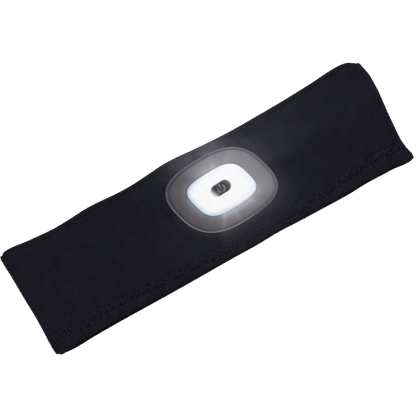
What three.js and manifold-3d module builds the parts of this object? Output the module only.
// LED sweatband: a stretch-knit headband laid flat, with a removable rechargeable lamp held in a silicone bezel.
// Millimetres. +X along the band, +Y up the band's height, +Z out of the front face.
// Origin: centre of the rear panel's outer face, on which the flat band rests.
// Left and right are as seen from the front: left is -X.

import * as THREE from "three";
import { ParametricGeometry } from "three/addons/geometries/ParametricGeometry.js";
import { mergeVertices } from "three/addons/utils/BufferGeometryUtils.js";
import Module from "manifold-3d";

const wasm = await Module();
wasm.setup();

const { degToRad } = THREE.MathUtils;

// ---- driving dimensions ----------------------------------------------------------------------
const BAND_HEIGHT = 69; // along Y
const KNIT = 1.8; // thickness of the doubled, brushed knit
const BEND_X = 55; // where the front and rear panels bend when the loop opens
const FOLD_X = 120.3; // centre line of the fold at each end
const FOLD_GAP = 1.4; // inner radius of the fold
const FOLD_Z = FOLD_GAP + KNIT; // mid-plane between the two layers at the fold
const FRONT_Z = 9.8; // underside of the front panel, lifted by the lamp behind it
const CLOSURE_X = -26; // line where the front panel is divided
const GAP = 0.15; // half the gap between neighbouring panels

const LAMP_X = 12.5; // lamp centre on the band
const LAMP_Y = 5.0;
const LAMP_TURN = degToRad(3); // the lamp is sewn in slightly turned
const LAMP_SKEW = -0.235; // lean of the lamp outline, X per Y

// superellipses: the lens and lamp body, and the bezel's flange
const LENS = { halfLength: 18.4, halfHeight: 13.1, exponent: 3.27 };
const BEZEL = { halfLength: 30.2, halfHeight: 23.2, exponent: 2.79 };
const AROUND = 72; // points round each outline

const LAMP_BACK = 4.5; // rear face of the lamp
const HOUSING_TOP = 13.0;
const LENS_BOTTOM = 13.6;
const LENS_TOP = 16.9;
const WALL = 1.4; // of the housing and the lens cap

const BOARD_BOTTOM = 12.4;
const BOARD_TOP = 13.2;
const UNDER_BOARD = BOARD_BOTTOM - 0.2; // top of the parts behind the board
const OVER_BOARD = BOARD_TOP + 0.1; // bottom of the parts in front of it

const BUTTON_LONG = 12.2;
const BUTTON_SHORT = 6.6;
const BUTTON_UP = 1.0; // the button sits a little above the lamp centre
const BUTTON_TOP = 16.4;

// ---- materials -------------------------------------------------------------------------------
const finish = (settings) => new THREE.MeshStandardMaterial(settings);

const KNIT_BLACK = finish({ color: 0x1b1b22, roughness: 0.95 });
const TAPE_BLACK = finish({ color: 0x141418, roughness: 0.9 });
const THREAD_BLACK = finish({ color: 0x101015, roughness: 0.8 });
const SILICONE = finish({ color: 0x6c6b70, roughness: 0.45, transparent: true, opacity: 0.9 });
const CLEAR = finish({ color: 0xf4f8ff, roughness: 0.12, transparent: true, opacity: 0.75 });
const WHITE = finish({ color: 0xf5f5f2, roughness: 0.5 });
const PHOSPHOR = finish({ color: 0xf3ea9c, roughness: 0.4 });
const BOARD = finish({ color: 0xe9ecea, roughness: 0.5 });
const CHIP = finish({ color: 0x17171a, roughness: 0.5 });
const METAL = finish({ color: 0xb9bcc0, roughness: 0.3, metalness: 1 });
const BLACK_ABS = finish({ color: 0x1c1c1f, roughness: 0.55 });
const BUTTON_GREY = finish({ color: 0x3d3d42, roughness: 0.6 });
const ICON = finish({ color: 0xc9cbd0, roughness: 0.5 });
const FOIL = finish({ color: 0xa9adb3, roughness: 0.35, metalness: 0.8 });
const FOAM = finish({ color: 0x26262a, roughness: 0.95 });
const RED = finish({ color: 0xb3201c, roughness: 0.5 });
const BLACK_WIRE = finish({ color: 0x111113, roughness: 0.5 });

const headlamp = new THREE.Group();
function add(name, geometry, material) {
  const mesh = new THREE.Mesh(geometry, material);
  mesh.name = name;
  headlamp.add(mesh);
}

// ---- mesh and solid helpers ------------------------------------------------------------------
// drop collapsed triangles, weld the vertices and turn the faces outwards
function tidy(geometry) {
  const loose = geometry.index ? geometry.toNonIndexed() : geometry.clone();
  const position = loose.getAttribute("position");
  const corner = (i) => [position.getX(i), position.getY(i), position.getZ(i)];
  const keyOf = (point) => point.map((value) => Math.round(value * 1e4)).join();
  const kept = [];
  for (let i = 0; i < position.count; i += 3) {
    const triangle = [corner(i), corner(i + 1), corner(i + 2)];
    if (new Set(triangle.map(keyOf)).size === 3) kept.push(...triangle.flat());
  }
  const sound = new THREE.BufferGeometry();
  sound.setAttribute("position", new THREE.Float32BufferAttribute(kept, 3));
  const merged = mergeVertices(sound, 1e-3);
  faceOutwards(merged);
  return merged;
}

function faceOutwards(geometry) {
  const position = geometry.getAttribute("position");
  const index = geometry.index.array;
  const corners = [new THREE.Vector3(), new THREE.Vector3(), new THREE.Vector3()];
  let volume = 0;
  for (let i = 0; i < index.length; i += 3) {
    corners.forEach((corner, j) => corner.fromBufferAttribute(position, index[i + j]));
    volume += corners[0].dot(corners[1].cross(corners[2]));
  }
  if (volume >= 0) return;
  for (let i = 0; i < index.length; i += 3) {
    [index[i + 1], index[i + 2]] = [index[i + 2], index[i + 1]];
  }
}

function solid(geometry) {
  const closed = tidy(geometry);
  return new wasm.Manifold(
    new wasm.Mesh({
      numProp: 3,
      vertProperties: new Float32Array(closed.getAttribute("position").array),
      triVerts: new Uint32Array(closed.index.array),
    }),
  );
}

function geometryOf(manifold) {
  const mesh = manifold.getMesh();
  const stride = mesh.numProp;
  const positions = new Float32Array(mesh.numVert * 3);
  for (let i = 0; i < mesh.numVert; i++) {
    positions.set(mesh.vertProperties.subarray(i * stride, i * stride + 3), i * 3);
  }
  const geometry = new THREE.BufferGeometry();
  geometry.setAttribute("position", new THREE.BufferAttribute(positions, 3));
  geometry.setIndex(new THREE.BufferAttribute(new Uint32Array(mesh.triVerts), 1));
  geometry.computeVertexNormals();
  return geometry;
}

// a body with every cutter taken out of it
function carve(body, ...cutters) {
  const cut = (rest, cutter) => rest.subtract(solid(cutter));
  return geometryOf(cutters.reduce(cut, solid(body)));
}

// ---- outlines --------------------------------------------------------------------------------
// the lamp's own axes (along it, up it) to the band's axes, for square-cut pieces
function placeSquare([along, up]) {
  const cos = Math.cos(LAMP_TURN);
  const sin = Math.sin(LAMP_TURN);
  return [LAMP_X + along * cos - up * sin, LAMP_Y + along * sin + up * cos];
}

// the same with the lean of the lamp outline
const placeLeaning = ([along, up]) => placeSquare([along + LAMP_SKEW * up, up]);

// superellipse pushed outwards by grow along its normals, then placed on the band
function outline({ halfLength, halfHeight, exponent }, grow) {
  const slope = (value, half) =>
    (Math.sign(value) * Math.pow(Math.abs(value) / half, exponent - 1)) / half;
  return Array.from({ length: AROUND }, (_, i) => {
    const angle = (2 * Math.PI * i) / AROUND;
    const cos = Math.cos(angle);
    const sin = Math.sin(angle);
    const radius = Math.pow(
      Math.pow(Math.abs(cos) / halfLength, exponent) +
        Math.pow(Math.abs(sin) / halfHeight, exponent),
      -1 / exponent,
    );
    const along = radius * cos;
    const up = radius * sin;
    let normalAlong = slope(along, halfLength);
    let normalUp = slope(up, halfHeight);
    const length = Math.hypot(normalAlong, normalUp);
    normalAlong /= length;
    normalUp /= length;
    return placeLeaning([along + grow * normalAlong, up + grow * normalUp]);
  });
}

// the ring a given fraction of the way from one ring to another
function between(from, to, fraction) {
  return from.map(([x, y], i) => [
    x + (to[i][0] - x) * fraction,
    y + (to[i][1] - y) * fraction,
  ]);
}

// angles in radians; turn is signed
function arc([centreX, centreY], radius, start, turn, steps) {
  return Array.from({ length: steps + 1 }, (_, i) => {
    const angle = start + (turn * i) / steps;
    return [centreX + radius * Math.cos(angle), centreY + radius * Math.sin(angle)];
  });
}

// round-ended oval on the button's centre
function buttonRing(long, short, steps) {
  const radius = short / 2;
  const reach = long / 2 - radius;
  return [
    ...arc([reach, BUTTON_UP], radius, -Math.PI / 2, Math.PI, steps),
    ...arc([-reach, BUTTON_UP], radius, Math.PI / 2, Math.PI, steps),
  ].map(placeSquare);
}

// ---- shapes ----------------------------------------------------------------------------------
// surface through stations [{ ring, z }]; it returns to the first when rows reaches their number
function sweep(stations, rows) {
  const count = stations[0].ring.length;
  return new ParametricGeometry(
    (around, onward, target) => {
      const { ring, z } = stations[Math.round(onward * rows) % stations.length];
      const [x, y] = ring[Math.round(around * count) % count];
      target.set(x, y, z);
    },
    count,
    rows,
  );
}

// stations that form one closed profile, swept round an outline
const loftRing = (stations) => sweep(stations, stations.length);

// stations stacked into a body, both ends closed to a point inside the outline
function loftSolid(stations) {
  const closeEnd = ({ ring, z }) => {
    const centre = ring
      .reduce(([sumX, sumY], [x, y]) => [sumX + x, sumY + y], [0, 0])
      .map((sum) => sum / ring.length);
    return { ring: ring.map(() => centre), z };
  };
  const closed = [closeEnd(stations[0]), ...stations, closeEnd(stations.at(-1))];
  return sweep(closed, closed.length - 1);
}

// body from rows of [growth of the lens outline, z]
const lampBody = (rows) =>
  loftSolid(rows.map(([grow, z]) => ({ ring: outline(LENS, grow), z })));

// flat-sided ring between two outlines
const collar = (outer, inner, low, high) =>
  loftRing([
    { ring: outer, z: low },
    { ring: outer, z: high },
    { ring: inner, z: high },
    { ring: inner, z: low },
  ]);

function extrude(points, depth) {
  const shape = new THREE.Shape(points.map(([x, y]) => new THREE.Vector2(x, y)));
  return new THREE.ExtrudeGeometry(shape, { depth, bevelEnabled: false, curveSegments: 1 });
}

const slab = (ring, low, high) => extrude(ring, high - low).translate(0, 0, low);

// box square to the lamp; each argument is a [low, high] pair
function block([left, right], [bottom, top], [low, high]) {
  const corners = [
    [left, bottom],
    [right, bottom],
    [right, top],
    [left, top],
  ];
  return slab(corners.map(placeSquare), low, high);
}

const span = (centre, half) => [centre - half, centre + half];

// ---- the band --------------------------------------------------------------------------------
// One loop of knit, folded flat. Each bend line divides it, because each panel between two
// bend lines moves as one piece. Profiles are [x, z] points.
const FOLD_TURN = degToRad(27); // arc left on the rear side panel, clear of the opened front
const FOLD_FLAT = 9; // nearly level run of the front side panel next to the fold
const FOLD_RISE = 0.2; // rise over that run
const SHOULDER = 12; // run of the gentler slope next to the bend line
const SHOULDER_DROP = 0.9; // fall over that run
const DOWN = degToRad(270);

const flip = (profile) => profile.map(([x, z]) => [-x, z]).reverse();

// one thickness of knit over an underside
const sheet = (underside) => [
  ...underside,
  ...underside.map(([x, z]) => [x, z + KNIT]).reverse(),
];

const flat = (left, right, z) =>
  sheet([
    [left + GAP, z],
    [right - GAP, z],
  ]);

// a profile run along Y
function panel(profile) {
  const geometry = extrude(profile, BAND_HEIGHT);
  geometry.rotateX(Math.PI / 2);
  geometry.translate(0, BAND_HEIGHT / 2, 0);
  return geometry;
}

add("rear_panel", panel(flat(-BEND_X, BEND_X, 0)), KNIT_BLACK);

// rear side panel, flat out to the fold and then curling up into it
const foldCentre = [-FOLD_X, FOLD_Z];
const rearSide = [
  [-BEND_X - GAP, 0],
  ...arc(foldCentre, FOLD_GAP + KNIT, DOWN, -FOLD_TURN, 4),
  ...arc(foldCentre, FOLD_GAP, DOWN - FOLD_TURN, FOLD_TURN, 3),
  [-BEND_X - GAP, KNIT],
];
add("left_rear_panel", panel(rearSide), KNIT_BLACK);
add("right_rear_panel", panel(flip(rearSide)), KNIT_BLACK);

// front side panel, sloping from the lifted front down to the fold
const frontSide = sheet([
  [-FOLD_X, FOLD_Z + FOLD_GAP],
  [-FOLD_X + FOLD_FLAT, FOLD_Z + FOLD_GAP + FOLD_RISE],
  [-BEND_X - SHOULDER, FRONT_Z - SHOULDER_DROP],
  [-BEND_X - GAP, FRONT_Z],
]);
add("left_front_panel", panel(frontSide), KNIT_BLACK);
add("right_front_panel", panel(flip(frontSide)), KNIT_BLACK);

add("front_panel_left", panel(flat(-BEND_X, CLOSURE_X, FRONT_Z)), KNIT_BLACK);

// the lamp's opening goes through the front panel and the backing patch
const opening = outline(LENS, 2.2);
add(
  "front_panel",
  carve(
    panel(flat(CLOSURE_X, BEND_X, FRONT_Z)),
    slab(opening, FRONT_Z - 1, FRONT_Z + KNIT + 1),
  ),
  KNIT_BLACK,
);

// tape over the loop's closing seam, on the inside of the rear panel
const TAPE = { x: -12, width: 8, endMargin: 2, thickness: 0.5, centreAboveKnit: 0.6 };
const tape = new THREE.BoxGeometry(TAPE.width, BAND_HEIGHT - 2 * TAPE.endMargin, TAPE.thickness);
tape.translate(TAPE.x, 0, KNIT + TAPE.centreAboveKnit);
add("rear_seam_tape", tape, TAPE_BLACK);

// ---- the bezel -------------------------------------------------------------------------------
// Flange on the front of the knit, a cup through it round the lamp, and a lip behind the lamp.
const FLANGE_Z = FRONT_Z + KNIT + 0.3; // rear face of the flange
const CUP_BACK = 3.2;
const LIP_FRONT = 4.2;
const GROOVE_FLOOR = 12.75; // groove for the stitching

const cupIn = outline(LENS, 0.35);
const cupOut = outline(LENS, 1.85);
const lipIn = outline(LENS, -2.5);
const crest = outline(LENS, 1.5);
const rim = outline(BEZEL, 0);
// from the cup's mouth out over the flange, then back under it and down the cup
const bezelProfile = [
  { ring: cupIn, z: 14.4 },
  { ring: outline(LENS, 0.75), z: 14.85 },
  { ring: crest, z: 14.9 },
  { ring: between(crest, rim, 0.3), z: 14.45 },
  { ring: between(crest, rim, 0.55), z: 13.95 },
  { ring: outline(BEZEL, -2.5), z: 13.5 },
  { ring: outline(BEZEL, -2.4), z: GROOVE_FLOOR },
  { ring: outline(BEZEL, -1.3), z: GROOVE_FLOOR },
  { ring: outline(BEZEL, -1.2), z: 13.4 },
  { ring: outline(BEZEL, -0.4), z: 13.25 },
  { ring: rim, z: 12.9 },
  { ring: rim, z: FLANGE_Z },
  { ring: cupOut, z: FLANGE_Z },
  { ring: cupOut, z: CUP_BACK },
  { ring: lipIn, z: CUP_BACK },
  { ring: lipIn, z: LIP_FRONT },
  { ring: cupIn, z: LIP_FRONT },
];
add("silicone_bezel", tidy(loftRing(bezelProfile)), SILICONE);

const STITCH_BOTTOM = GROOVE_FLOOR + 0.2;
const STITCH_HEIGHT = 0.4;
const stitching = collar(
  outline(BEZEL, -1.6),
  outline(BEZEL, -2.1),
  STITCH_BOTTOM,
  STITCH_BOTTOM + STITCH_HEIGHT,
);
add("bezel_stitching", tidy(stitching), THREAD_BLACK);

// patch behind the front panel
const PATCH_TOP = FRONT_Z - 0.3;
const PATCH_THICKNESS = 1.2;
const patch = collar(outline(BEZEL, -1.2), opening, PATCH_TOP - PATCH_THICKNESS, PATCH_TOP);
add("backing_patch", tidy(patch), TAPE_BLACK);

// ---- the housing and charging socket ---------------------------------------------------------
const SOCKET_Z = 10.6; // centre line of the socket
const SOCKET_LONG = 8.9; // outside of the shell
const SOCKET_SHORT = 3.1;
const SOCKET_WALL = 0.3;
const SOCKET_CLEARANCE = 0.3; // between the shell and the housing, all round

// round-ended oval bar, the shell's section grown all round, running up the lamp
function socketBar(grow, [bottom, top]) {
  const radius = SOCKET_SHORT / 2 + grow;
  const reach = SOCKET_LONG / 2 + grow - radius;
  const shape = new THREE.Shape();
  shape.moveTo(-reach, -radius);
  shape.lineTo(reach, -radius);
  shape.absarc(reach, 0, radius, -Math.PI / 2, Math.PI / 2, false);
  shape.lineTo(-reach, radius);
  shape.absarc(-reach, 0, radius, Math.PI / 2, (3 * Math.PI) / 2, false);
  const bar = new THREE.ExtrudeGeometry(shape, {
    depth: top - bottom,
    bevelEnabled: false,
    curveSegments: 6,
  });
  bar.rotateX(Math.PI / 2); // the depth now runs down from the top
  bar.translate(0, top, SOCKET_Z);
  bar.rotateZ(LAMP_TURN);
  bar.translate(LAMP_X, LAMP_Y, 0);
  return bar;
}

// open tray with a socket opening through its lower long wall
const housingBody = lampBody([
  [-1.6, LAMP_BACK],
  [-0.5, LAMP_BACK + 0.35],
  [0, LAMP_BACK + 1.5],
  [0, HOUSING_TOP],
]);
const housingHollow = lampBody([
  [-1.9, LAMP_BACK + 1.0],
  [-WALL, LAMP_BACK + 1.8],
  [-WALL, HOUSING_TOP + 1],
]);
add(
  "rear_housing",
  carve(housingBody, housingHollow, socketBar(SOCKET_CLEARANCE, [-16, -10])),
  BLACK_ABS,
);

const SEAL_GAP = 0.1; // to the housing and to the lens cap
const seal = collar(
  outline(LENS, -0.25),
  outline(LENS, -WALL),
  HOUSING_TOP + SEAL_GAP,
  LENS_BOTTOM - SEAL_GAP,
);
add("housing_seal", tidy(seal), FOAM);

// oval shell, open at the lower long wall
add(
  "socket_shell",
  carve(socketBar(0, [-12.7, -5.6]), socketBar(-SOCKET_WALL, [-14, -6.2])),
  METAL,
);

// ---- the lens cap ----------------------------------------------------------------------------
// clear cap with a rounded edge and an oval hole for the button
const capBody = lampBody([
  [0, LENS_BOTTOM],
  [0, LENS_TOP - 1.1],
  [-0.25, LENS_TOP - 0.45],
  [-0.8, LENS_TOP - 0.1],
  [-1.5, LENS_TOP],
]);
const capHollow = lampBody([
  [-WALL, LENS_BOTTOM - 1],
  [-WALL, LENS_TOP - 1.9],
  [-1.8, LENS_TOP - 1.5],
]);
const buttonHole = slab(
  buttonRing(BUTTON_LONG + 0.6, BUTTON_SHORT + 0.6, 10),
  LENS_TOP - 4,
  LENS_TOP + 1,
);
add("lens_cover", carve(capBody, capHollow, buttonHole), CLEAR);

// ---- the board, frame and LEDs ---------------------------------------------------------------
const LED_ALONG = 8.8; // LED centres from the lamp centre, before the lean
const LED_UP = 5.2;
const LED_HALF = [1.75, 1.4]; // half sizes along and up
const WINDOW_HALF = [2.1, 1.8];
const LED_TOP = 14.1;
const FRAME_BOTTOM = 13.5;
const FRAME_TOP = 14.5;
const FRAME_CUT = [FRAME_BOTTOM - 0.5, FRAME_TOP + 0.5]; // z range of cuts through the frame

const leds = [
  ["led_top_left", -LED_ALONG, LED_UP],
  ["led_top_right", LED_ALONG, LED_UP],
  ["led_bottom_left", -LED_ALONG, -LED_UP],
  ["led_bottom_right", LED_ALONG, -LED_UP],
].map(([name, along, up]) => ({ name, along: along + LAMP_SKEW * up, up }));

const ledBlock = ({ along, up }, [halfAlong, halfUp], heights) =>
  block(span(along, halfAlong), span(up, halfUp), heights);

// white frame over the board, with a window at each LED
const boardRing = outline(LENS, -1.9);
add(
  "led_frame",
  carve(
    slab(boardRing, FRAME_BOTTOM, FRAME_TOP),
    slab(buttonRing(9.0, 7.6, 8), ...FRAME_CUT),
    ...leds.map((led) => ledBlock(led, WINDOW_HALF, FRAME_CUT)),
  ),
  WHITE,
);
for (const led of leds) {
  add(led.name, tidy(ledBlock(led, LED_HALF, [OVER_BOARD, LED_TOP])), PHOSPHOR);
}

add("circuit_board", tidy(slab(boardRing, BOARD_BOTTOM, BOARD_TOP)), BOARD);

// ---- the switch and button -------------------------------------------------------------------
const SWITCH_HALF = 2.6;
const SWITCH_TOP = 14.3;
add(
  "switch_body",
  carve(
    block(span(0, SWITCH_HALF), span(BUTTON_UP, SWITCH_HALF), [OVER_BOARD, SWITCH_TOP]),
    slab(buttonRing(2.8, 2.8, 6), 13, 15),
  ),
  METAL,
);
add("switch_plunger", tidy(slab(buttonRing(2.2, 2.2, 8), 13.85, 14.9)), CHIP);

// [growth of the button's full length and height, z]
const buttonCap = loftSolid(
  [
    [0, 14.98],
    [0, BUTTON_TOP - 0.45],
    [-0.3, BUTTON_TOP - 0.12],
    [-1.0, BUTTON_TOP],
  ].map(([grow, z]) => ({ ring: buttonRing(BUTTON_LONG + grow, BUTTON_SHORT + grow, 10), z })),
);
// wider than the hole in the lens cap
const buttonFlange = slab(buttonRing(BUTTON_LONG + 1.6, BUTTON_SHORT + 1.2, 10), 14.95, 15.3);
add("power_button", geometryOf(solid(buttonCap).add(solid(buttonFlange))), BUTTON_GREY);

// power symbol: a ring open at the top, and a bar in the opening
const ICON_RADIUS = 2.3;
const ICON_HALF_WIDTH = 0.3; // half the stroke
const ICON_OPENING = degToRad(34); // half the ring's opening
const ICON_HEIGHTS = [BUTTON_TOP + 0.02, BUTTON_TOP + 0.2];
const iconArc = (radius) =>
  arc(
    [0, BUTTON_UP],
    radius,
    Math.PI / 2 + ICON_OPENING,
    2 * Math.PI - 2 * ICON_OPENING,
    20,
  );
const iconRing = [
  ...iconArc(ICON_RADIUS + ICON_HALF_WIDTH),
  ...iconArc(ICON_RADIUS - ICON_HALF_WIDTH).reverse(),
];
add("power_symbol_ring", tidy(slab(iconRing.map(placeSquare), ...ICON_HEIGHTS)), ICON);
const iconBar = block(
  span(0, ICON_HALF_WIDTH),
  [BUTTON_UP + 0.6, BUTTON_UP + 2.8],
  ICON_HEIGHTS,
);
add("power_symbol_bar", tidy(iconBar), ICON);

// ---- square-cut parts inside the lamp --------------------------------------------------------
// name, range along the lamp, range up it, range of z, material
const SQUARE_PARTS = [
  ["controller_chip", [-10.5, -5.5], [0, 4], [10.8, UNDER_BOARD], CHIP],
  ["charging_chip", [4.5, 7.5], [2, 3.8], [11.0, UNDER_BOARD], CHIP],
  ["foam_pad", [-10.5, 9.5], [-4, 8], [5.65, 6.2], FOAM],
  ["battery_cell", [-12, 11], [-4.8, 8.8], [6.35, 10.4], FOIL],
  ["socket_tongue", [-3.3, 3.3], [-11.6, -6.35], span(SOCKET_Z, 0.35), CHIP],
];
for (const [name, along, up, heights, material] of SQUARE_PARTS) {
  add(name, tidy(block(along, up, heights)), material);
}

// ---- battery wires ---------------------------------------------------------------------------
const WIRE_RADIUS = 0.45;
// [along the lamp, z], from the battery's right end up to the board
const WIRE_PATH = [
  [11.2, 8.6],
  [12.6, 8.7],
  [13.4, 9.6],
  [13.5, 10.8],
  [13.5, UNDER_BOARD],
];

function wire(up) {
  const path = new THREE.CatmullRomCurve3(
    WIRE_PATH.map(([along, z]) => new THREE.Vector3(...placeSquare([along, up]), z)),
  );
  const section = new THREE.Shape();
  section.absarc(0, 0, WIRE_RADIUS, 0, Math.PI * 2, false);
  return new THREE.ExtrudeGeometry(section, {
    extrudePath: path,
    steps: 10,
    curveSegments: 8,
    bevelEnabled: false,
  });
}
add("battery_wire_red", tidy(wire(3.6)), RED);
add("battery_wire_black", tidy(wire(1.2)), BLACK_WIRE);

export default headlamp;
